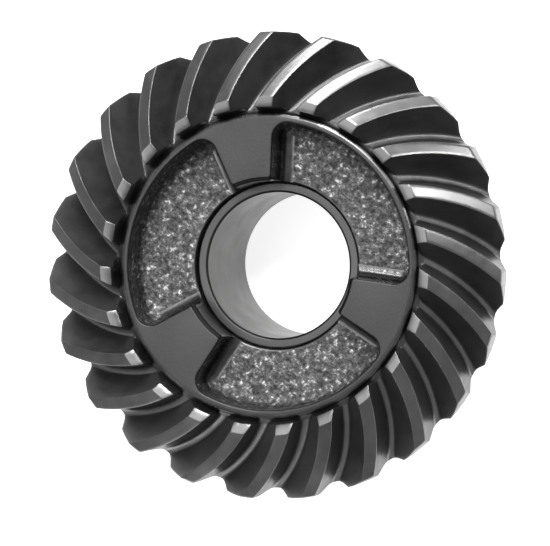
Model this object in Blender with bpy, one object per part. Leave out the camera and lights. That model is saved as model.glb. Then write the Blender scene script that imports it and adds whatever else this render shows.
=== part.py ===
# Spiral bevel gear with a three-jaw dog clutch face and a pressed-in plain bush.
#
# Frame: metres, +Z along the gear axis from the rear hub towards the teeth and
# the clutch dogs, origin on the axis in the plane of the rear hub end face.
# The gear lies on its rear hub.
#
# Two pieces:
#   gear  one steel forging: 23 right-hand spiral teeth, web, clutch disc with
#         three dogs, rear hub with thrust shoulder and bearing journal
#   bush  plain bush pressed into the hub bore
import math
import bpy
import bmesh

MM = 0.001

# ---- tooth system -------------------------------------------------------
TEETH = 23
PINION_TEETH = 14                      # mating pinion, sets the pitch cone
MODULE = 3.43                          # outer transverse module
ADD = 0.604 * MODULE                   # gear addendum at the heel
WHOLE = 1.888 * MODULE                 # whole depth at the heel
DED = WHOLE - ADD
SPIRAL = math.radians(30.0)            # mean spiral angle, right hand
CUTTER_R = 36.0                        # lengthwise curvature of the teeth
TOP_LAND = 2.50   # width of the top land, square to the radius
ROOT_LAND = 1.50                       # width of the gap floor
APEX_Z = 52.94                         # height of the pitch apex
TOOTH_PHASE = math.radians(99.25)   # angle of one tooth at mid face

# ---- toe end of the teeth, turned on the blank --------------------------
TOE_R = 27.30                          # vertical toe face
FACET_R = 29.11                        # where the face cone meets the toe facet
FACET_DROP = 0.30                      # how far the facet falls towards the axis
GROOVE_R = 27.00
GROOVE_Z = 32.75                       # gap floors run on up to the disc wall,
GROOVE_Z_IN = 33.15                    # meeting it at this height

# ---- heel end of the teeth: a back cone, with its corner turned off to a
# plain cylinder that takes the upper part of each tooth
HEEL_R = 40.52
BACK_A = 48.35   # cone distance of the back cone

# ---- clutch disc --------------------------------------------------------
DISC_R = 26.40
DISC_CH_R = 25.30                      # inner edge of the rounded rim
DISC_CH_H = 0.55
DOG_Z = 34.20                          # plane of the dog tops and of the rim
FLOOR_Z = 27.50                        # pocket floor between the dogs
POCKET_R = 24.95                       # pocket outer wall at the top
POCKET_CORNER = 2.6
POCKET_FILLET = 2.0
POCKET_DRAFT = 0.30                    # inward run of the wall down to the fillet
# the two flanks of each dog at its top, degrees about the axis
DOG_EDGES = ((87.6, 114.4), (207.2, 236.4), (327.2, 352.2))

# ---- hub, bore, back ----------------------------------------------------
HUB_BORE_R = 14.65
BORE_CH = 0.75                         # bevel round the inner edge of the dogs
BACK_V = 4.4                           # metal under the tooth roots at the heel
BACK_RING_R = 25.6                     # inner edge of the flat back face
SHOULDER_R = 24.0
SHOULDER_Z = 18.6
JOURNAL_R = 19.05
JOURNAL_CH = 0.9
RELIEF_R = 18.75                       # grinding relief beside the shoulder
RELIEF_W = 1.8
RELIEF_CONE = 0.45                     # coned corner, so the shoulder starts outside the journal

# ---- bush ---------------------------------------------------------------
BUSH_OD_R = 14.35                      # clear of the hub bore by 0.3
BUSH_ID_R = 12.70
BUSH_Z0 = 0.40
BUSH_Z1 = 26.40
BUSH_CH = 0.45

ROUND = 72                             # segments round the plain turned surfaces
SECTIONS = 5                           # tooth sections from the facet to the heel

PITCH_R = 0.5 * MODULE * TEETH
GAMMA = math.atan2(TEETH, PINION_TEETH)
SG, CG = math.sin(GAMMA), math.cos(GAMMA)
A0 = PITCH_R / SG                      # outer cone distance
A_MID = A0 - 7.6
C_DIST = math.sqrt(A_MID ** 2 + CUTTER_R ** 2 - 2 * A_MID * CUTTER_R * math.sin(SPIRAL))


def beta(a):
    return math.acos((a * a + C_DIST ** 2 - CUTTER_R ** 2) / (2 * a * C_DIST))


def spiral_angle(a):
    """Turn of the tooth centre line at cone distance a."""
    return (beta(a) - beta(A_MID)) / SG


def rz(a, v):
    """Radius and height of a point at cone distance a, height v off the pitch cone."""
    return a * SG + v * CG, APEX_Z - a * CG + v * SG


def av(r, z):
    h = APEX_Z - z
    return SG * r + CG * h, CG * r - SG * h


def facet_line():
    r0 = FACET_R
    a0 = r0 / (SG + ADD / A0 * CG)
    v0 = ADD * a0 / A0
    z0 = rz(a0, v0)[1]
    a1, v1 = av(TOE_R, z0 - FACET_DROP)
    return a1, v1, a0, v0


FA1, FV1, FA0, FV0 = facet_line()


def v_top(a):
    if a >= FA0:
        return ADD * a / A0
    f = (a - FA1) / (FA0 - FA1)
    return FV1 + f * (FV0 - FV1)


def v_root(a):
    return -DED * a / A0


def half_thick(v, a):
    """Half thickness of the tooth at height v: narrow at the tip, full at the root."""
    tip, root = ADD * a / A0, v_root(a)
    pitch = 2 * math.pi / TEETH * (a * SG + root * CG)
    h_root = 0.5 * (pitch - ROOT_LAND)
    h_tip = 0.5 * TOP_LAND
    f = (tip - v) / (tip - root)
    return h_tip + (h_root - h_tip) * (0.80 * f + 0.20 * f * f)


# the profile across one pitch: fraction of the way up the tooth, side, in order
# of falling angle; the first two points are the gap floor
FLANK = (0.0, 0.25, 0.485, 1.0)


def a_on_cylinder(h, r):
    """Cone distance at which height fraction h of the tooth meets the cylinder of radius r."""
    a = r / SG
    for _ in range(40):
        v = v_root(a) + h * (v_top(max(a, FA1)) - v_root(a))
        a = (r - v * CG) / SG
    return a


def tooth_ring(t):
    """One closed row of points: t = -1 at the toe, 0 at the facet line, 1 at the heel."""
    one = []
    for side in (-1, 1):
        for h in (FLANK if side < 0 else tuple(reversed(FLANK))):
            inner = a_on_cylinder(h, FACET_R)
            if t < 0:
                a = inner + t * (inner - a_on_cylinder(h, TOE_R))
            else:
                a = inner + t * (min(a_on_cylinder(h, HEEL_R), BACK_A) - inner)
            v = v_root(a) + h * (v_top(max(a, FA1)) - v_root(a))
            r, z = rz(a, v)
            one.append((r, z, spiral_angle(a) + side * half_thick(v, a) / r))
    row = []
    for k in range(TEETH):
        base = TOOTH_PHASE + 2 * math.pi * k / TEETH
        row += [(r * math.cos(base + g), r * math.sin(base + g), z) for r, z, g in one]
    return row


def back_r(z):
    """Radius of the heel surface at height z."""
    return min(HEEL_R, (BACK_A - CG * (APEX_Z - z)) / SG)


BACK_CORNER_Z = APEX_Z - (BACK_A - SG * HEEL_R) / CG


def circle(r, z, n=ROUND, angles=None):
    if angles is None:
        angles = [2 * math.pi * i / n for i in range(n)]
    return [(r * math.cos(a), r * math.sin(a), z) for a in angles]


def angles_of(row):
    return [math.atan2(p[1], p[0]) for p in row]


def rising(angles, least):
    """The same angles unwrapped, each held back so the row never turns over itself."""
    out = [angles[0]]
    for g in angles[1:]:
        out.append(out[-1] + (g - out[-1] + math.pi) % (2 * math.pi) - math.pi)
    for i in range(len(out) - 2, -1, -1):
        out[i] = min(out[i], out[i + 1] - least)
    return out


def add_loop(bm, row):
    return [bm.verts.new((p[0] * MM, p[1] * MM, p[2] * MM)) for p in row]


def skin(bm, lo, up):
    n = len(lo)
    for i in range(n):
        j = (i + 1) % n
        bm.faces.new((lo[i], lo[j], up[j], up[i]))


def zipper(bm, lo, up):
    """Join two closed loops with different numbers of points."""
    def ang(v):
        return math.atan2(v.co.y, v.co.x) % (2 * math.pi)
    a = sorted(lo, key=ang)
    b = sorted(up, key=ang)
    na, nb = len(a), len(b)
    aa = [ang(v) for v in a] + [ang(a[0]) + 2 * math.pi]
    bb = [ang(v) for v in b] + [ang(b[0]) + 2 * math.pi]
    i = j = 0
    while i < na or j < nb:
        if j >= nb or (i < na and aa[i + 1] <= bb[j + 1]):
            bm.faces.new((a[i % na], a[(i + 1) % na], b[j % nb]))
            i += 1
        else:
            bm.faces.new((a[i % na], b[(j + 1) % nb], b[j % nb]))
            j += 1


def new_object(name, bm):
    bmesh.ops.recalc_face_normals(bm, faces=bm.faces)
    me = bpy.data.meshes.new(name)
    bm.to_mesh(me)
    bm.free()
    ob = bpy.data.objects.new(name, me)
    bpy.context.scene.collection.objects.link(ob)
    return ob


def material(name, colour, metallic, rough):
    m = bpy.data.materials.new(name)
    m.use_nodes = True
    b = m.node_tree.nodes["Principled BSDF"]
    b.inputs["Base Color"].default_value = (*colour, 1.0)
    b.inputs["Metallic"].default_value = metallic
    b.inputs["Roughness"].default_value = rough
    return m


def finish(ob, angle):
    bpy.context.view_layer.objects.active = ob
    for o in bpy.context.selected_objects:
        o.select_set(False)
    ob.select_set(True)
    bpy.ops.object.shade_smooth()
    ob.data.set_sharp_from_angle(angle=math.radians(angle))


# ---- gear blank with teeth ----------------------------------------------
def build_blank():
    bm = bmesh.new()
    steps = [-1.0] + [i / (SECTIONS - 1) for i in range(SECTIONS)]
    rings = [add_loop(bm, tooth_ring(t)) for t in steps]
    toe, heel = tooth_ring(-1.0), tooth_ring(1.0)
    for lo, up in zip(rings[:-1], rings[1:]):
        skin(bm, lo, up)
    # toe side: groove, disc wall, rounded rim, top plane, bore
    ta = angles_of(toe)
    front = [circle(GROOVE_R, GROOVE_Z, angles=ta), circle(DISC_R, GROOVE_Z_IN, angles=ta),
             circle(DISC_R, DOG_Z - DISC_CH_H, angles=ta),
             circle(0.5 * (DISC_R + DISC_CH_R) + 0.14, DOG_Z - 0.32 * DISC_CH_H, angles=ta),
             circle(DISC_CH_R, DOG_Z, angles=ta)]
    last = rings[0]
    for row in front:
        cur = add_loop(bm, row)
        skin(bm, last, cur)
        last = cur
    bore = [circle(HUB_BORE_R + BORE_CH, DOG_Z), circle(HUB_BORE_R, DOG_Z - BORE_CH),
            circle(HUB_BORE_R, 0.6), circle(HUB_BORE_R + 0.6, 0.0),
            circle(JOURNAL_R - JOURNAL_CH, 0.0), circle(JOURNAL_R, JOURNAL_CH),
            circle(JOURNAL_R, SHOULDER_Z - RELIEF_W), circle(RELIEF_R, SHOULDER_Z - RELIEF_W + 0.4),
            circle(RELIEF_R, SHOULDER_Z - RELIEF_CONE), circle(JOURNAL_R + 0.2, SHOULDER_Z),
            circle(SHOULDER_R - 0.5, SHOULDER_Z),
            circle(SHOULDER_R, SHOULDER_Z + 0.5)]
    rb, zb = rz(BACK_A, -DED - BACK_V)
    bore += [circle(SHOULDER_R, zb - 1.0), circle(BACK_RING_R, zb), circle(rb - 0.8, zb)]
    first = add_loop(bm, bore[0])
    zipper(bm, last, first)
    last = first
    for row in bore[1:]:
        cur = add_loop(bm, row)
        skin(bm, last, cur)
        last = cur
    # heel side: tooth ends, turned corner and back cone down to the back face
    ha = rising(angles_of(heel), math.radians(0.10))
    corner = []
    for p, g in zip(heel, ha):
        z = min(BACK_CORNER_Z, p[2] - 0.3)
        corner.append((back_r(z) * math.cos(g), back_r(z) * math.sin(g), z))
    z1 = rz(BACK_A, v_root(BACK_A) - 0.9)[1]
    z2 = zb + 0.75
    h0 = add_loop(bm, corner)
    h1 = add_loop(bm, circle(back_r(z1), z1, angles=ha))
    h2 = add_loop(bm, circle(back_r(z2), z2, angles=ha))
    skin(bm, rings[-1], h0)
    skin(bm, h0, h1)
    skin(bm, h1, h2)
    zipper(bm, last, h2)
    return new_object("gear", bm)


# ---- pocket between two dogs --------------------------------------------
def pocket_outline(inset, mid, half):
    """Plan of one pocket moved inwards by inset; open sector with rounded outer corners."""
    ro = POCKET_R - inset
    rc = max(POCKET_CORNER - inset, 0.35)
    pts = []
    for side in (-1, 1):
        # flank: line parallel to the radius at angle half, moved in by inset
        fa = side * half
        tx, ty = math.cos(fa), math.sin(fa)
        nx, ny = -ty * -side, tx * -side          # towards the pocket middle
        # corner arc centre: rc from the flank and rc inside the outer wall
        off = inset + rc
        d = math.sqrt((ro - rc) ** 2 - off ** 2)
        cx, cy = tx * d + nx * off, ty * d + ny * off
        a_wall = math.atan2(cy, cx)
        a_flank = math.atan2(-ny, -nx)
        flank = []
        for s in (0.0, 0.5):
            q = 11.0 + s * (d - 11.0)
            flank.append((tx * q + nx * inset, ty * q + ny * inset))
        da = (a_wall - a_flank + math.pi) % (2 * math.pi) - math.pi
        arc = [(cx + rc * math.cos(a_flank + da * i / 4), cy + rc * math.sin(a_flank + da * i / 4))
               for i in range(5)]
        leg = flank + arc
        if side < 0:
            pts = leg
            a_lo = a_wall
        else:
            a_hi = a_wall
            wall = [(ro * math.cos(a_lo + (a_hi - a_lo) * i / 12), ro * math.sin(a_lo + (a_hi - a_lo) * i / 12))
                    for i in range(1, 12)]
            pts = pts + wall + list(reversed(leg))
    c, s = math.cos(mid), math.sin(mid)
    return [(x * c - y * s, x * s + y * c) for x, y in pts]


def build_pocket(name, mid, half):
    levels = [(FLOOR_Z, POCKET_DRAFT + POCKET_FILLET)]
    for i in range(1, 4):
        f = math.radians(90 * i / 3)
        levels.append((FLOOR_Z + POCKET_FILLET * (1 - math.cos(f)),
                       POCKET_DRAFT + POCKET_FILLET * (1 - math.sin(f))))
    levels.append((DOG_Z, 0.0))
    levels.append((DOG_Z + 2.0, -POCKET_DRAFT * 2.0 / (DOG_Z - FLOOR_Z - POCKET_FILLET)))
    bm = bmesh.new()
    loops = []
    for z, inset in levels:
        loops.append(add_loop(bm, [(x, y, z) for x, y in pocket_outline(inset, mid, half)]))
    for lo, up in zip(loops[:-1], loops[1:]):
        skin(bm, lo, up)
    bm.faces.new(loops[0])
    bm.faces.new(loops[-1])
    ob = new_object(name, bm)
    ob.display_type = 'WIRE'
    ob.hide_render = True
    return ob


def build_bush():
    bm = bmesh.new()
    rows = [circle(BUSH_ID_R + BUSH_CH, BUSH_Z1), circle(BUSH_OD_R - BUSH_CH, BUSH_Z1),
            circle(BUSH_OD_R, BUSH_Z1 - BUSH_CH), circle(BUSH_OD_R, BUSH_Z0 + BUSH_CH),
            circle(BUSH_OD_R - BUSH_CH, BUSH_Z0), circle(BUSH_ID_R + BUSH_CH, BUSH_Z0),
            circle(BUSH_ID_R, BUSH_Z0 + BUSH_CH), circle(BUSH_ID_R, BUSH_Z1 - BUSH_CH)]
    loops = [add_loop(bm, r) for r in rows]
    for i in range(len(loops)):
        skin(bm, loops[i], loops[(i + 1) % len(loops)])
    return new_object("bush", bm)


for o in list(bpy.data.objects):
    bpy.data.objects.remove(o, do_unlink=True)

steel = material("gear_steel", (0.19, 0.19, 0.20), 1.0, 0.34)
bronze = material("bush_bronze", (0.36, 0.33, 0.29), 1.0, 0.30)

gear = build_blank()
gear.data.materials.append(steel)
for i in range(3):
    lo = DOG_EDGES[i][1]
    hi = DOG_EDGES[(i + 1) % 3][0] + (360.0 if i == 2 else 0.0)
    cutter = build_pocket("pocket_cutter_%d" % (i + 1), math.radians(0.5 * (lo + hi)),
                          math.radians(0.5 * (hi - lo)))
    mod = gear.modifiers.new("pocket_%d" % (i + 1), 'BOOLEAN')
    mod.operation = 'DIFFERENCE'
    mod.solver = 'EXACT'
    mod.object = cutter
finish(gear, 32)

bush = build_bush()
bush.data.materials.append(bronze)
finish(bush, 32)
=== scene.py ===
import math
import bpy
import numpy as np
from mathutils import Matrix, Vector, noise


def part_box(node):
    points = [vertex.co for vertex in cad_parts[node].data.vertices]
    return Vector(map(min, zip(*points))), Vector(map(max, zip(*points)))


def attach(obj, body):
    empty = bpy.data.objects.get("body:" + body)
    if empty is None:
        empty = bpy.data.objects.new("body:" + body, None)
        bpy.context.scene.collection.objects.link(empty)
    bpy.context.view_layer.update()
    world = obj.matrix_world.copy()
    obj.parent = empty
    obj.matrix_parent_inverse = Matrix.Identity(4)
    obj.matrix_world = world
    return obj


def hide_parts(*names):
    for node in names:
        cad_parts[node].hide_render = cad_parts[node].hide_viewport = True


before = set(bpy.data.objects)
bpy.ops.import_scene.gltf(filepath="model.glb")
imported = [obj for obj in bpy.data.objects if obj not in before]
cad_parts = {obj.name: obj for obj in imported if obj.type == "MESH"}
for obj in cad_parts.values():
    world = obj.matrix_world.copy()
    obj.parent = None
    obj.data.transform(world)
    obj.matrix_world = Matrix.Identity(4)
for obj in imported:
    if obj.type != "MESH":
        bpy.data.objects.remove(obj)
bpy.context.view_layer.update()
MM = 0.001

# ---------------------------------------------------------------- sizes, mm
# the CAD boxes anchor the detailed pieces; the tooth system is the part's own
GEAR_LO, GEAR_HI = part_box("gear")
BUSH_LO, BUSH_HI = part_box("bush")
BASE_Z = GEAR_LO.z / MM
BUSH_TOP = BUSH_HI.z / MM
BUSH_BOTTOM = BUSH_LO.z / MM

TEETH, PINION_TEETH, MODULE = 23, 14, 3.43
ADD, WHOLE = 0.604 * MODULE, 1.888 * MODULE
DED = WHOLE - ADD
SPIRAL = math.radians(30.0)
CUTTER_R = 36.0
TOP_LAND, ROOT_LAND = 2.50, 1.50
HEEL_R, BACK_A = 40.52, 48.35
APEX_Z = BASE_Z + 52.94
TOOTH_PHASE = math.radians(99.25)
TOE_R, FACET_R, FACET_DROP = 27.30, 29.11, 0.30
GROOVE_R, GROOVE_Z, GROOVE_Z_IN = 27.00, BASE_Z + 32.75, BASE_Z + 33.15
DISC_R, DISC_CH_R, DISC_CH_H = 26.40, 25.30, 0.55
DOG_Z, FLOOR_Z = BASE_Z + 34.20, BASE_Z + 27.50
POCKET_R, POCKET_CORNER, POCKET_FILLET, POCKET_DRAFT = 24.95, 2.6, 2.0, 0.30
DOG_EDGES = ((87.6, 114.4), (207.2, 236.4), (327.2, 352.2))
HUB_BORE_R = 14.65
BACK_V, BACK_RING_R = 4.4, 25.6
SHOULDER_R, SHOULDER_Z = 24.0, BASE_Z + 18.6
JOURNAL_R, JOURNAL_CH = 19.05, 0.9
RELIEF_R, RELIEF_W = 18.75, 1.8
BUSH_ID_R = 12.70

PITCH_R = 0.5 * MODULE * TEETH
GAMMA = math.atan2(TEETH, PINION_TEETH)
SG, CG = math.sin(GAMMA), math.cos(GAMMA)
A0 = PITCH_R / SG
A_MID = A0 - 7.6
C_DIST = math.sqrt(A_MID ** 2 + CUTTER_R ** 2 - 2 * A_MID * CUTTER_R * math.sin(SPIRAL))

TIP_ROUND = 0.17        # rounded edge along the top land
EDGE = 0.13             # broken edge at the tooth ends
ROUND_TOP = 0.30        # rounded top edge of the pockets
DOG_CORNER = 0.45       # rounded inner corners of the dogs
DOG_BEVEL = 0.75        # bevel round the inner edge of the dogs


def beta(a):
    return math.acos((a * a + C_DIST ** 2 - CUTTER_R ** 2) / (2 * a * C_DIST))


def spiral_angle(a):
    return (beta(a) - beta(A_MID)) / SG


def rz(a, v):
    return a * SG + v * CG, APEX_Z - a * CG + v * SG


def av(r, z):
    h = APEX_Z - z
    return SG * r + CG * h, CG * r - SG * h


def facet_line():
    a0 = FACET_R / (SG + ADD / A0 * CG)
    v0 = ADD * a0 / A0
    z0 = rz(a0, v0)[1]
    a1, v1 = av(TOE_R, z0 - FACET_DROP)
    return a1, v1, a0, v0


FA1, FV1, FA0, FV0 = facet_line()


def v_top(a):
    if a >= FA0:
        return ADD * a / A0
    f = (max(a, FA1) - FA1) / (FA0 - FA1)
    return FV1 + f * (FV0 - FV1)


def v_root(a):
    return -DED * a / A0


# ---------------------------------------------------------------- mesh store
class Store:
    def __init__(self):
        self.v, self.f, self.m, self.w = [], [], [], []

    def row(self, pts, w=0.0):
        i = len(self.v)
        self.v += [tuple(p) for p in pts]
        self.w += [w] * len(pts) if not hasattr(w, "__len__") else list(w)
        return list(range(i, i + len(pts)))

    def skin(self, a, b, mat=0, closed=True):
        n = len(a)
        for i in range(n if closed else n - 1):
            j = (i + 1) % n
            self.f.append((a[i], a[j], b[j], b[i]))
            self.m.append(mat[i] if hasattr(mat, "__len__") else mat)

    def build(self, name, mats):
        me = bpy.data.meshes.new(name)
        me.from_pydata([(x * MM, y * MM, z * MM) for x, y, z in self.v], [], self.f)
        me.polygons.foreach_set("material_index", self.m)
        for m in mats:
            me.materials.append(m)
        me.update()
        ob = bpy.data.objects.new(name, me)
        bpy.context.scene.collection.objects.link(ob)
        return ob


def ring_pts(r, z, angles):
    return [(r * math.cos(a), r * math.sin(a), z) for a in angles]


def even(n, start=0.0):
    return [start + 2 * math.pi * i / n for i in range(n)]


def smooth_line(pts, n=5):
    """Polyline (r, z, radius) with each corner rounded; returns (r, z) rows."""
    out = [pts[0][:2]]
    for k in range(1, len(pts) - 1):
        p, q, s = pts[k - 1], pts[k], pts[k + 1]
        rad = q[2]
        if rad <= 0:
            out.append(q[:2])
            continue
        d1 = np.array(p[:2], float) - np.array(q[:2])
        d2 = np.array(s[:2], float) - np.array(q[:2])
        l1, l2 = np.linalg.norm(d1), np.linalg.norm(d2)
        d1, d2 = d1 / l1, d2 / l2
        ang = math.acos(max(-1, min(1, float(d1 @ d2))))
        t = min(rad / math.tan(ang / 2), 0.45 * l1, 0.45 * l2)
        a, b = np.array(q[:2]) + d1 * t, np.array(q[:2]) + d2 * t
        for i in range(n + 1):
            u = i / n
            pt = (1 - u) ** 2 * a + 2 * u * (1 - u) * np.array(q[:2]) + u * u * b
            out.append((float(pt[0]), float(pt[1])))
    out.append(pts[-1][:2])
    return out


# ---------------------------------------------------------------- teeth
# half profile from the gap centre up to the middle of the top land:
# ("floor",), ("fillet", u), ("flank", f), ("round", deg), ("top", x)
HALF = ([("fillet", u) for u in (0.0, 0.25, 0.5, 0.75, 1.0)]
        + [("flank", f) for f in (0.72, 0.56, 0.40, 0.24)]
        + [("round", g) for g in (90, 60, 30, 0)]
        + [("top", x) for x in (0.55,)])
FLANK_M, LAND_M, ROOT_M = 0, 1, 2


def half_at(f, a):
    root = v_root(a)
    pitch = 2 * math.pi / TEETH * (a * SG + root * CG)
    h_root = 0.5 * (pitch - ROOT_LAND)
    h_tip = 0.5 * TOP_LAND
    return h_tip + (h_root - h_tip) * (0.86 * f + 0.14 * f * f)


def profile_point(item, a, shrink=0.0):
    """Half width x and height v of one profile item at cone distance a."""
    tip, root = v_top(a), v_root(a)
    full = ADD * a / A0 - root
    top = tip - shrink
    kind = item[0]
    if kind == "floor":
        return math.pi / TEETH * (a * SG + root * CG), root
    if kind == "fillet":
        # quadratic from the gap floor to the flank
        u = item[1]
        x1, v1 = half_at(0.86, a), root + 0.14 * full
        xc, vc = half_at(1.0, a), root + 0.015
        x0, v0 = xc + 0.42, root
        x = (1 - u) ** 2 * x0 + 2 * u * (1 - u) * xc + u * u * x1
        v = (1 - u) ** 2 * v0 + 2 * u * (1 - u) * vc + u * u * v1
        return x - shrink * u, v
    if kind == "flank":
        f = item[1]
        v = min(root + (1 - f) * full, top - TIP_ROUND)
        return half_at((ADD * a / A0 - v) / full, a) - shrink, v
    ht = half_at((ADD * a / A0 - (tip - TIP_ROUND)) / full, a) - shrink
    if kind == "round":
        g = math.radians(item[1])
        return ht - TIP_ROUND + TIP_ROUND * math.sin(g), top - TIP_ROUND + TIP_ROUND * math.cos(g)
    return (ht - TIP_ROUND) * item[1], top


def solve_a(item, r, shrink):
    a = r / SG
    for _ in range(30):
        x, v = profile_point(item, max(a, 5.0), shrink)
        a = (r - v * CG) / SG
    return a


ITEMS = ([(("floor",), -1)] + [(i, -1) for i in HALF] + [(("top", 0.0), 1)]
         + [(i, 1) for i in reversed(HALF)])
KIND = [("root" if i[0] in ("floor",) or (i[0] == "fillet" and i[1] < 0.6)
         else "land" if i[0] == "top" or (i[0] == "round" and i[1] < 45) else "flank")
        for i, s in ITEMS]


def tooth_row(mode, val, shrink=0.0):
    """mode 'r': points on the cylinder of radius val; 't': share val from the facet line to the heel."""
    base_pts = []
    for item, side in ITEMS:
        if mode == "r":
            a = solve_a(item, val, shrink)
        else:
            a1 = solve_a(item, FACET_R, 0.0)
            a = a1 + val * (min(solve_a(item, HEEL_R, 0.0), BACK_A) - a1)
        x, v = profile_point(item, a, shrink)
        r, z = rz(a, v)
        base_pts.append((r, z, spiral_angle(a) + side * x / r))
    out = []
    for k in range(TEETH):
        b = TOOTH_PHASE + 2 * math.pi * k / TEETH
        out += [(r * math.cos(b + g), r * math.sin(b + g), z) for r, z, g in base_pts]
    return out


def angles_of(row):
    return [math.atan2(p[1], p[0]) for p in row]


def rising(angles, least):
    """The same angles unwrapped, each held back so the row never turns over itself."""
    out = [angles[0]]
    for g in angles[1:]:
        out.append(out[-1] + (g - out[-1] + math.pi) % (2 * math.pi) - math.pi)
    for i in range(len(out) - 2, -1, -1):
        out[i] = min(out[i], out[i + 1] - least)
    return out


def back_r(z):
    """Radius of the heel surface at height z: cylinder above, back cone below."""
    return min(HEEL_R, (BACK_A - CG * (APEX_Z - z)) / SG)


BACK_CORNER_Z = APEX_Z - (BACK_A - SG * HEEL_R) / CG


def build_teeth(mats):
    st = Store()
    n = len(ITEMS)
    # material across one pitch
    mat = []
    for i in range(n):
        k0, k1 = KIND[i], KIND[(i + 1) % n]
        mat.append(LAND_M if "land" in (k0, k1) else ROOT_M if k0 == k1 == "root" else FLANK_M)
    mat = mat * TEETH
    spec = [("r", TOE_R, EDGE), ("r", TOE_R + EDGE * 0.6, EDGE * 0.25), ("r", TOE_R + EDGE * 1.3, 0.0),
            ("r", 0.5 * (TOE_R + FACET_R), 0.0), ("r", FACET_R - 0.15, 0.0), ("r", FACET_R + 0.02, 0.0)]
    spec += [("t", t, 0.0) for t in np.linspace(0.03, 0.965, 24)]
    spec += [("t", 0.985, 0.0), ("t", 0.994, EDGE * 0.3), ("t", 1.0, EDGE)]
    rows = [tooth_row(*s) for s in spec]
    idx = [st.row(r) for r in rows]
    for i in range(len(idx) - 1):
        st.skin(idx[i], idx[i + 1], mat)
    # toe faces, groove, disc wall and rounded rim
    ta = angles_of(rows[0])
    front = [(TOE_R - 0.02, None), (GROOVE_R, GROOVE_Z), (DISC_R + 0.30, GROOVE_Z_IN - 0.16),
             (DISC_R + 0.10, GROOVE_Z_IN + 0.02), (DISC_R, GROOVE_Z_IN + 0.2)]
    last = idx[0]
    for r, z in front[1:]:
        cur = st.row(ring_pts(r, z, ta))
        st.skin(last, cur, 3)
        last = cur
    # the middle rows of the rounded rim take the lighter edge steel (index 10), a painted edge highlight
    for i in range(0, 9):
        g = math.radians(90 * i / 8)
        cur = st.row(ring_pts(DISC_CH_R + (DISC_R - DISC_CH_R) * math.cos(g),
                              DOG_Z - DISC_CH_H + DISC_CH_H * math.sin(g), ta))
        st.skin(last, cur, 10 if 2 < i < 7 else 4)
        last = cur
    rim = last
    # heel faces and back
    ha = rising(angles_of(rows[-1]), math.radians(0.015))
    last = idx[-1]
    for top, under in ((None, 0.10), (BACK_CORNER_Z + 0.07, 0.16), (BACK_CORNER_Z - 0.07, 0.24)):
        row = []
        for q, g in zip(rows[-1], ha):
            z = q[2] - under if top is None else min(top, q[2] - under)
            row.append((back_r(z) * math.cos(g), back_r(z) * math.sin(g), z))
        cur = st.row(row)
        st.skin(last, cur, 5)
        last = cur
    z1 = rz(BACK_A, v_root(BACK_A) - 0.6)[1]
    r1 = back_r(z1)
    rb, zb = rz(BACK_A, -DED - BACK_V)
    rr, zr = rz(BACK_A, -DED - BACK_V + 0.9)
    prof = smooth_line([(r1, z1, 0), (rr, zr, 0.5), (rb - 0.8, zb, 0.4), (BACK_RING_R, zb, 0.5),
                        (SHOULDER_R, zb - 1.0, 0.6), (SHOULDER_R, SHOULDER_Z + 0.5, 0.12),
                        (SHOULDER_R - 0.5, SHOULDER_Z, 0.12), (JOURNAL_R + 0.2, SHOULDER_Z, 0.10),
                        (RELIEF_R, SHOULDER_Z - 0.45, 0.20),
                        (RELIEF_R, SHOULDER_Z - RELIEF_W + 0.4, 0.2), (JOURNAL_R, SHOULDER_Z - RELIEF_W, 0.08),
                        (JOURNAL_R, BASE_Z + JOURNAL_CH, 0.18), (JOURNAL_R - JOURNAL_CH, BASE_Z, 0.12),
                        (HUB_BORE_R + 0.6, BASE_Z, 0.08), (HUB_BORE_R, BASE_Z + 0.6, 0.08),
                        (HUB_BORE_R, BASE_Z + 19.0, 0)], 4)
    for i, (r, z) in enumerate(prof):
        cur = st.row(ring_pts(r, z, ha))
        if i == 0:
            m = 5
        elif z > SHOULDER_Z + 0.05 or r > SHOULDER_R - 0.6:
            m = 5
        elif abs(r - JOURNAL_R) < 0.02:
            m = 6
        else:
            m = 5
        st.skin(last, cur, m)
        last = cur
    return st, rim


# ---------------------------------------------------------------- clutch face
N_FLANK, N_CORNER, N_WALL, N_IN, N_DOG = 34, 10, 190, 6, 40


def pocket_curve(inset, mid, half, rc, bore_r, rho):
    """One pocket's outline from the bore edge round to the bore edge again, in mm."""
    ro = POCKET_R - inset
    legs = []
    for side in (-1, 1):
        fa = side * half
        u = np.array((math.cos(fa), math.sin(fa)))
        nrm = np.array((-u[1] * -side, u[0] * -side))       # towards the pocket middle
        off = inset + rc
        d = math.sqrt((ro - rc) ** 2 - off ** 2)
        c = u * d + nrm * off
        a_wall = math.atan2(c[1], c[0])
        a_fl = math.atan2(-nrm[1], -nrm[0])
        # rounded inner corner of the dog
        oc = inset - rho
        q0 = math.sqrt((bore_r + rho) ** 2 - oc ** 2)
        cc = u * q0 + nrm * oc
        a_in = math.atan2(-cc[1], -cc[0])
        a_out = math.atan2(nrm[1], nrm[0])
        da = (a_out - a_in + math.pi) % (2 * math.pi) - math.pi
        inner = [cc + rho * np.array((math.cos(a_in + da * i / N_IN), math.sin(a_in + da * i / N_IN)))
                 for i in range(N_IN + 1)]
        flank = [u * (q0 + (d - q0) * i / N_FLANK) + nrm * inset for i in range(1, N_FLANK)]
        db = (a_wall - a_fl + math.pi) % (2 * math.pi) - math.pi
        arc = [c + rc * np.array((math.cos(a_fl + db * i / N_CORNER), math.sin(a_fl + db * i / N_CORNER)))
               for i in range(N_CORNER + 1)]
        legs.append((inner + flank + arc, a_wall))
    (la, a0), (lb, a1) = legs
    wall = [np.array((ro * math.cos(a0 + (a1 - a0) * i / N_WALL), ro * math.sin(a0 + (a1 - a0) * i / N_WALL)))
            for i in range(1, N_WALL)]
    pts = np.array(la + wall + lb[::-1])
    c, s = math.cos(mid), math.sin(mid)
    return pts @ np.array(((c, s), (-s, c)))


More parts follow.
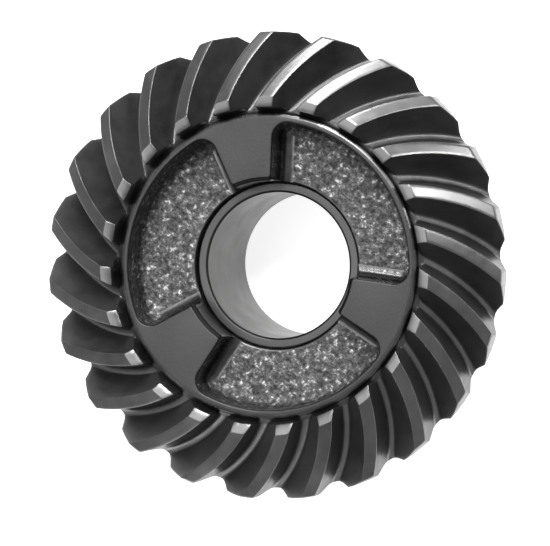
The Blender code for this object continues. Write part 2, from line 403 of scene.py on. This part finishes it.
def cavity_loop(inset, bore_r, rc, rho):
    """The whole open region at one level: pockets joined by the inner faces of the dogs."""
    loop = []
    for i in range(3):
        lo = DOG_EDGES[i][1]
        hi = DOG_EDGES[(i + 1) % 3][0] + (360.0 if i == 2 else 0.0)
        p = pocket_curve(inset, math.radians(0.5 * (lo + hi)), math.radians(0.5 * (hi - lo)), rc, bore_r, rho)
        loop.append(p)
    full = []
    for i in range(3):
        full.append(loop[i])
        e, s = loop[i][-1], loop[(i + 1) % 3][0]
        a0, a1 = math.atan2(e[1], e[0]), math.atan2(s[1], s[0])
        a1 = a0 + (a1 - a0) % (2 * math.pi)
        full.append(np.array([(bore_r * math.cos(a0 + (a1 - a0) * k / N_DOG),
                               bore_r * math.sin(a0 + (a1 - a0) * k / N_DOG)) for k in range(1, N_DOG)]))
    return np.vstack(full), len(loop[0])


def build_face(st, rim):
    """Dog tops, pockets and the bore above the bush."""
    levels = []                                     # z, inset, bore radius, corner radius, inner corner, weight
    for i in range(7):
        g = math.radians(90 * i / 6)
        s = 1 - math.sin(g)
        levels.append((DOG_Z - ROUND_TOP * (1 - math.cos(g)), -ROUND_TOP * s,
                       HUB_BORE_R + DOG_BEVEL * (1 - i / 6 * 0.30) - 0.05 * math.sin(2 * g), DOG_CORNER, 0.0))
    zt, zf = DOG_Z - ROUND_TOP, FLOOR_Z + POCKET_FILLET
    n = 18
    for i in range(1, n + 1):
        f = i / n
        z = zt + (zf - zt) * f
        b = HUB_BORE_R + max(0.0, DOG_BEVEL * 0.70 * (1 - (zt - z) / 0.55))
        levels.append((z, POCKET_DRAFT * f, b, DOG_CORNER, 0.08 * min(1, 2 * f)))
    n = 14
    for i in range(1, n + 1):
        g = math.radians(90 * i / n)
        levels.append((FLOOR_Z + POCKET_FILLET * (1 - math.sin(g)),
                       POCKET_DRAFT + POCKET_FILLET * (1 - math.cos(g)),
                       HUB_BORE_R, DOG_CORNER * (1 - 0.9 * i / n), 0.08 + 0.5 * (i / n) ** 5))
    rows = []
    first = None
    for z, ins, br, rho, w in levels:
        rc = max(POCKET_CORNER - ins, 0.35)
        loop, npk = cavity_loop(ins, br, rc, max(rho, 0.04))
        rows.append(st.row([(x, y, z) for x, y in loop], w))
        if first is None:
            first = loop
    # material: ground inner faces, machined dog flanks, forged outer walls
    npk_all = []
    for i in range(3):
        leg = N_IN + N_FLANK + N_CORNER // 2
        npk_all += [9] * leg + [7] * (npk - 2 * leg) + [9] * leg + [4] * (N_DOG - 1)
    for i in range(len(rows) - 1):
        if i < 7:
            st.skin(rows[i], rows[i + 1], 4)
        else:
            st.skin(rows[i], rows[i + 1], npk_all)
    # floors: Coons patches between the flanks, the wall and the bore edge
    last = rows[-1]
    total = npk + N_DOG - 1
    zrow = FLOOR_Z
    bore_ring = []
    for k in range(3):
        ids = last[k * total:k * total + npk]
        P = [np.array(st.v[i][:2]) for i in ids]
        nc = N_IN + N_FLANK + N_CORNER // 2         # index of the corner's middle
        A = ids[N_IN:nc + 1]                        # flank, bore -> wall
        B = ids[nc:npk - nc]                        # wall
        C = ids[npk - 1 - nc:npk - N_IN][::-1]      # other flank, bore -> wall
        Av = np.array([st.v[i][:2] for i in A]); Bv = np.array([st.v[i][:2] for i in B])
        Cv = np.array([st.v[i][:2] for i in C])
        a0, a1 = math.atan2(Av[0][1], Av[0][0]), math.atan2(Cv[0][1], Cv[0][0])
        a1 = a0 + (a1 - a0) % (2 * math.pi)
        M, K = len(B) - 1, len(A) - 1
        be = HUB_BORE_R + 0.30
        Dv = np.array([(be * math.cos(a0 + (a1 - a0) * u / M), be * math.sin(a0 + (a1 - a0) * u / M))
                       for u in range(M + 1)])
        Dv[0], Dv[-1] = Av[0], Cv[0]
        grid = [[None] * (M + 1) for _ in range(K + 1)]
        for v in range(K + 1):
            for u in range(M + 1):
                if u == 0:
                    grid[v][u] = A[v]; continue
                if u == M:
                    grid[v][u] = C[v]; continue
                if v == K:
                    grid[v][u] = B[u]; continue
                fu, fv = u / M, v / K
                p = ((1 - fv) * Dv[u] + fv * Bv[u] + (1 - fu) * Av[v] + fu * Cv[v]
                     - ((1 - fu) * (1 - fv) * Av[0] + fu * (1 - fv) * Cv[0] + (1 - fu) * fv * Av[-1] + fu * fv * Cv[-1]))
                edge = min(1.0, v / 3)
                st.v.append((float(p[0]), float(p[1]), zrow))
                st.w.append(0.25 + 0.75 * edge)
                grid[v][u] = len(st.v) - 1
        for v in range(K):
            st.skin(grid[v], grid[v + 1], 7, closed=False)
        bore_ring.append((grid[0], ids, a0, a1))
    # bore edge: rounded into the wall, then down past the bush
    loop_ids = []
    for k in range(3):
        g0, ids, a0, a1 = bore_ring[k]
        loop_ids += list(ids[:N_IN]) + list(g0) + list(ids[npk - N_IN:])
        loop_ids += last[k * total + npk:(k + 1) * total]
    angs = [math.atan2(st.v[i][1], st.v[i][0]) for i in loop_ids]
    prev = loop_ids
    for i in range(1, 6):
        g = math.radians(90 * i / 5)
        cur = st.row([((HUB_BORE_R + 0.30 * (1 - math.sin(g))) * math.cos(a),
                       (HUB_BORE_R + 0.30 * (1 - math.sin(g))) * math.sin(a),
                       zrow - 0.30 * (1 - math.cos(g))) for a in angs])
        st.skin(prev, cur, 8)
        prev = cur
    for z in (26.9, 26.2, 22.0, 19.0):
        cur = st.row(ring_pts(HUB_BORE_R, BASE_Z + z, angs))
        st.skin(prev, cur, 8)
        prev = cur
    return rows[0]


def fill_top(st, ob, rim, inner):
    """Flat dog tops and rim: the plane between the rim circle and the pocket edges."""
    import bmesh
    bm = bmesh.new()
    bm.from_mesh(ob.data)
    bm.verts.ensure_lookup_table()
    edges = []
    for loop in (rim, inner):
        for i in range(len(loop)):
            a, b = bm.verts[loop[i]], bm.verts[loop[(i + 1) % len(loop)]]
            edges.append(bm.edges.get((a, b)))
    res = bmesh.ops.triangle_fill(bm, use_beauty=True, use_dissolve=False, edges=edges, normal=(0, 0, 1))
    for f in res["geom"]:
        if isinstance(f, bmesh.types.BMFace):
            f.material_index = 4
            if f.normal.z < 0:
                f.normal_flip()
    bmesh.ops.recalc_face_normals(bm, faces=bm.faces)
    bm.to_mesh(ob.data)
    bm.free()
    ob.data.update()


def forge(ob, weights):
    """Raise and sink the as-forged surfaces along their normals."""
    me = ob.data
    n = len(me.vertices)
    co = np.empty(n * 3, np.float32)
    me.vertices.foreach_get("co", co)
    no = np.empty(n * 3, np.float32)
    me.vertices.foreach_get("normal", no)
    co, no = co.reshape(-1, 3), no.reshape(-1, 3)
    for i, w in enumerate(weights):
        if w <= 0:
            continue
        p = Vector(co[i]) / MM
        d = 0.045 * noise.noise(p * 0.85) + 0.040 * noise.noise(p * 1.9 + Vector((7, 3, 1)))
        d += 0.035 * noise.noise(p * 3.6 + Vector((1, 9, 4)))
        pit = noise.noise(p * 1.35 + Vector((31, 5, 8)))
        d -= 0.16 * max(0.0, pit - 0.32)
        co[i] += no[i] * float(d) * w * MM
    me.vertices.foreach_set("co", co.reshape(-1))
    me.update()


# ---------------------------------------------------------------- materials
def nodes_of(name):
    m = bpy.data.materials.new(name)
    m.use_nodes = True
    nt = m.node_tree
    return m, nt, nt.nodes["Principled BSDF"]


def add(nt, kind, **kw):
    n = nt.nodes.new(kind)
    for k, v in kw.items():
        if k in n.inputs:
            n.inputs[k].default_value = v
        else:
            setattr(n, k, v)
    return n


def tex_noise(nt, scale, detail=4.0, rough=0.55, vec=None, distortion=0.0):
    t = nt.nodes.new("ShaderNodeTexNoise")
    t.inputs["Scale"].default_value = scale
    t.inputs["Detail"].default_value = detail
    t.inputs["Roughness"].default_value = rough
    t.inputs["Distortion"].default_value = distortion
    if vec is not None:
        nt.links.new(vec, t.inputs["Vector"])
    return t.outputs["Fac"]


def ramp(nt, fac, stops):
    r = nt.nodes.new("ShaderNodeValToRGB")
    cr = r.color_ramp
    while len(cr.elements) < len(stops):
        cr.elements.new(0.5)
    for e, (p, c) in zip(cr.elements, stops):
        e.position = p
        e.color = (c[0], c[1], c[2], 1) if hasattr(c, "__len__") else (c, c, c, 1)
    nt.links.new(fac, r.inputs["Fac"])
    return r.outputs["Color"]


def math_node(nt, op, a, b=None, c=None):
    m = nt.nodes.new("ShaderNodeMath")
    m.operation = op
    for i, x in enumerate((a, b, c)):
        if x is None:
            continue
        if isinstance(x, (int, float)):
            m.inputs[i].default_value = x
        else:
            nt.links.new(x, m.inputs[i])
    return m.outputs[0]


def polar(nt):
    """Object coordinates with radius, angle and height outputs."""
    tc = nt.nodes.new("ShaderNodeTexCoord")
    sep = nt.nodes.new("ShaderNodeSeparateXYZ")
    nt.links.new(tc.outputs["Object"], sep.inputs[0])
    x, y, z = sep.outputs
    r = math_node(nt, "SQRT", math_node(nt, "ADD", math_node(nt, "MULTIPLY", x, x), math_node(nt, "MULTIPLY", y, y)))
    a = math_node(nt, "ARCTAN2", y, x)
    return tc.outputs["Object"], r, a, z


def combine(nt, x, y, z):
    c = nt.nodes.new("ShaderNodeCombineXYZ")
    for i, v in enumerate((x, y, z)):
        if isinstance(v, (int, float)):
            c.inputs[i].default_value = v
        else:
            nt.links.new(v, c.inputs[i])
    return c.outputs[0]


def bump(nt, height, strength, distance, normal=None):
    b = nt.nodes.new("ShaderNodeBump")
    b.inputs["Strength"].default_value = strength
    b.inputs["Distance"].default_value = distance
    nt.links.new(height, b.inputs["Height"])
    if normal is not None:
        nt.links.new(normal, b.inputs["Normal"])
    return b.outputs["Normal"]


def steel(name, stops, rough, rough_var, turned=0.0, grain=0.0, grain_scale=900.0, metallic=1.0, cloud=90.0):
    """Dark steel: cloudy tone, lathe rings from the radius, fine grain."""
    m, nt, b = nodes_of(name)
    obj, r, a, z = polar(nt)
    tone = tex_noise(nt, cloud, 5.0, 0.6, obj)
    col = ramp(nt, tone, stops)
    nt.links.new(col, b.inputs["Base Color"])
    rv = tex_noise(nt, cloud * 4, 4.0, 0.6, obj)
    mr = nt.nodes.new("ShaderNodeMapRange")
    mr.inputs["From Min"].default_value = 0.3
    mr.inputs["From Max"].default_value = 0.7
    mr.inputs["To Min"].default_value = rough - rough_var
    mr.inputs["To Max"].default_value = rough + rough_var
    nt.links.new(rv, mr.inputs["Value"])
    nt.links.new(mr.outputs[0], b.inputs["Roughness"])
    b.inputs["Metallic"].default_value = metallic
    nrm = None
    if turned > 0:
        # rings about the axis, drawn out along the angle
        v = combine(nt, math_node(nt, "MULTIPLY", r, 1.0), math_node(nt, "MULTIPLY", z, 1.0),
                    math_node(nt, "MULTIPLY", a, 0.0006))
        rings = tex_noise(nt, 5200.0, 3.0, 0.65, v)
        nrm = bump(nt, rings, turned, 0.00003)
    if grain > 0:
        g = tex_noise(nt, grain_scale, 6.0, 0.62, obj)
        nrm = bump(nt, g, grain, 0.00012, nrm)
    if nrm is not None:
        nt.links.new(nrm, b.inputs["Normal"])
    return m


def forged(name):
    """Coarse as-forged and blasted steel, with small bright spots painted into its tone as glints."""
    m, nt, b = nodes_of(name)
    obj, r, a, z = polar(nt)
    tone = tex_noise(nt, 1150.0, 3.0, 0.66, obj)
    # grain tone varies at random; the top stop paints bright spots that stand in for glints (painted highlight)
    col = ramp(nt, tone, [(0.34, 0.045), (0.52, 0.125), (0.61, 0.22), (0.69, 0.70)])
    nt.links.new(col, b.inputs["Base Color"])
    b.inputs["Metallic"].default_value = 1.0
    vor = nt.nodes.new("ShaderNodeTexVoronoi")
    vor.inputs["Scale"].default_value = 1500.0
    nt.links.new(obj, vor.inputs["Vector"])
    rg = ramp(nt, vor.outputs["Distance"], [(0.0, 0.28), (0.6, 0.50)])
    nt.links.new(rg, b.inputs["Roughness"])
    g1 = tex_noise(nt, 1300.0, 6.0, 0.7, obj)
    n1 = bump(nt, g1, 1.0, 0.00030)
    n2 = bump(nt, vor.outputs["Distance"], 0.35, 0.00012, n1)
    nt.links.new(n2, b.inputs["Normal"])
    return m


# flank base colour sits well below the lands: partly the hobbed finish, partly painted shade that keeps the flanks
# dark where they face the bright floor
M_FLANK = steel("flank_steel", [(0.3, 0.050), (0.7, 0.100)], 0.38, 0.07, grain=0.25, grain_scale=1500.0, metallic=0.75)
M_LAND = steel("land_steel", [(0.3, 0.13), (0.7, 0.21)], 0.31, 0.04, turned=0.30, grain=0.06)
M_ROOT = steel("root_steel", [(0.3, 0.14), (0.7, 0.23)], 0.38, 0.06, grain=0.3, grain_scale=1500.0)
M_TOE = steel("toe_steel", [(0.3, 0.08), (0.7, 0.14)], 0.38, 0.06, turned=0.3, grain=0.2)
M_DISC = steel("dog_steel", [(0.3, 0.048), (0.7, 0.068)], 0.42, 0.05, grain=0.35, grain_scale=2200.0, cloud=60.0)
M_BACK = steel("back_steel", [(0.3, 0.13), (0.7, 0.21)], 0.38, 0.06, turned=0.7, grain=0.15)
M_JOURNAL = steel("journal_steel", [(0.3, 0.16), (0.7, 0.25)], 0.27, 0.05, turned=0.45)
M_FORGED = forged("pocket_steel")
M_BORE = steel("bore_steel", [(0.3, 0.10), (0.7, 0.16)], 0.34, 0.05, turned=0.3)
M_BUSH = steel("bush_metal", [(0.3, (0.072, 0.071, 0.069)), (0.7, (0.103, 0.101, 0.098))], 0.33, 0.05, turned=0.4, cloud=50.0)
M_SIDE = steel("dog_side_steel", [(0.3, 0.07), (0.7, 0.13)], 0.25, 0.05, grain=0.18, grain_scale=1400.0)
# lighter steel for the middle of the rounded rim edge: a painted highlight that brightens the edge lines
M_EDGE_HIGHLIGHT = steel("rim_edge_highlight_steel", [(0.3, 0.06), (0.7, 0.16)], 0.30, 0.06, turned=0.2)
M_BUSH_END = steel("bush_end", [(0.3, 0.068), (0.7, 0.098)], 0.42, 0.05, turned=0.6, cloud=50.0)

# ---------------------------------------------------------------- gear
store, rim_loop = build_teeth(None)
top_loop = build_face(store, rim_loop)
gear = store.build("gear_body", [M_FLANK, M_LAND, M_ROOT, M_TOE, M_DISC, M_BACK, M_JOURNAL, M_FORGED, M_BORE, M_SIDE, M_EDGE_HIGHLIGHT])
fill_top(store, gear, rim_loop, top_loop)
forge(gear, store.w)


def shade(ob, angle):
    for p in ob.data.polygons:
        p.use_smooth = True
    ob.data.set_sharp_from_angle(angle=math.radians(angle))


shade(gear, 34)
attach(gear, "root")
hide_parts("gear")

# ---------------------------------------------------------------- bush
bs = Store()
ba = even(256)
OD = HUB_BORE_R - 0.015
prof = smooth_line([(OD, BUSH_BOTTOM + 8, 0), (OD, BUSH_BOTTOM + 0.45, 0.1), (OD - 0.45, BUSH_BOTTOM, 0.12),
                    (BUSH_ID_R + 0.45, BUSH_BOTTOM, 0.12), (BUSH_ID_R, BUSH_BOTTOM + 0.45, 0.12),
                    (BUSH_ID_R, BUSH_TOP - 0.35, 0.16), (BUSH_ID_R + 0.35, BUSH_TOP, 0.16),
                    (OD - 0.40, BUSH_TOP, 0.20), (OD, BUSH_TOP - 0.45, 0.16), (OD, BUSH_BOTTOM + 8, 0)], 4)
last = None
for r, z in prof:
    cur = bs.row(ring_pts(r, z, ba))
    if last is not None:
        # index 1 is the bush end face; index 2, the outer top edge, takes the lighter journal steel as a painted edge
        # highlight
        bs.skin(last, cur, 1 if z > BUSH_TOP - 0.02 and r > BUSH_ID_R + 0.36 else 2 if z > BUSH_TOP - 0.5 and r > BUSH_ID_R + 0.6 else 0)
    last = cur
bush = bs.build("bush_sleeve", [M_BUSH, M_BUSH_END, M_JOURNAL])
shade(bush, 34)
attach(bush, "root")
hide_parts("bush")

# ---------------------------------------------------------------- floor
fm, nt, b = nodes_of("pale_floor")
tc = nt.nodes.new("ShaderNodeTexCoord")
cl = ramp(nt, tex_noise(nt, 6.0, 2.0, 0.5, tc.outputs["Object"]), [(0.3, 0.80), (0.7, 0.84)])
nt.links.new(cl, b.inputs["Base Color"])
b.inputs["Roughness"].default_value = 0.9
b.inputs["Emission Color"].default_value = (1, 1, 1, 1)
b.inputs["Emission Strength"].default_value = 0.80
fme = bpy.data.meshes.new("floor")
S = 3.0
fme.from_pydata([(-S, -S, 0), (S, -S, 0), (S, S, 0), (-S, S, 0)], [], [(0, 1, 2, 3)])
floor = bpy.data.objects.new("floor", fme)
fme.materials.append(fm)
bpy.context.scene.collection.objects.link(floor)
floor.location.z = GEAR_LO.z - 0.0002

# ---------------------------------------------------------------- light
def area(name, az, el, dist, size, size_y, power, target=(0, 0, 0.03)):
    d = bpy.data.lights.new(name, "AREA")
    d.shape = "RECTANGLE"
    d.size, d.size_y = size, size_y
    d.energy = power
    o = bpy.data.objects.new(name, d)
    a, e = math.radians(az), math.radians(el)
    v = Vector((math.cos(a) * math.cos(e), math.sin(a) * math.cos(e), math.sin(e)))
    o.location = Vector(target) + v * dist
    o.rotation_euler = v.to_track_quat("Z", "Y").to_euler()
    bpy.context.scene.collection.objects.link(o)
    return o


area("panel_back", 88, 33, 1.2, 0.18, 0.12, 5.0)
area("panel_side", 31, 46, 1.2, 0.15, 0.11, 3.4)
area("strip_flank", 84, 58, 1.2, 0.12, 0.45, 11)
area("low_edge", 238, 4, 1.2, 0.34, 0.06, 1.3)
area("soft_top", 185, 72, 1.5, 1.1, 0.9, 7.2)

world = bpy.data.worlds.new("studio")
world.use_nodes = True
bg = world.node_tree.nodes["Background"]
bg.inputs["Color"].default_value = (1, 1, 1, 1)
bg.inputs["Strength"].default_value = 0.42
bpy.context.scene.world = world
bpy.context.scene.view_settings.view_transform = "Standard"

# ---------------------------------------------------------------- camera
TILT, AZ = math.radians(14.5), math.radians(3.2)
REF = Vector((0, 0, 0.0264))
DIST = 0.720
d = Vector((math.sin(TILT) * math.cos(AZ), math.sin(TILT) * math.sin(AZ), math.cos(TILT)))
right = Vector((0, 1, 0)).cross(d).normalized()
up = d.cross(right)
cam_data = bpy.data.cameras.new("camera")
cam = bpy.data.objects.new("camera", cam_data)
bpy.context.scene.collection.objects.link(cam)
from mathutils import Matrix
rot = Matrix((right, up, d)).transposed()
cam.matrix_world = Matrix.Translation(REF + d * DIST) @ rot.to_4x4()
cam_data.sensor_width = 36.0
cam_data.sensor_fit = "HORIZONTAL"
cam_data.lens = 36.0 * 5.75 * 720.0 / 550.0
cam_data.shift_x = -(278.08 - 275.0) / 550.0
cam_data.shift_y = -(273.0 - 265.2) / 550.0
cam_data.clip_start, cam_data.clip_end = 0.05, 20.0
bpy.context.scene.camera = cam

bpy.context.view_layer.update()
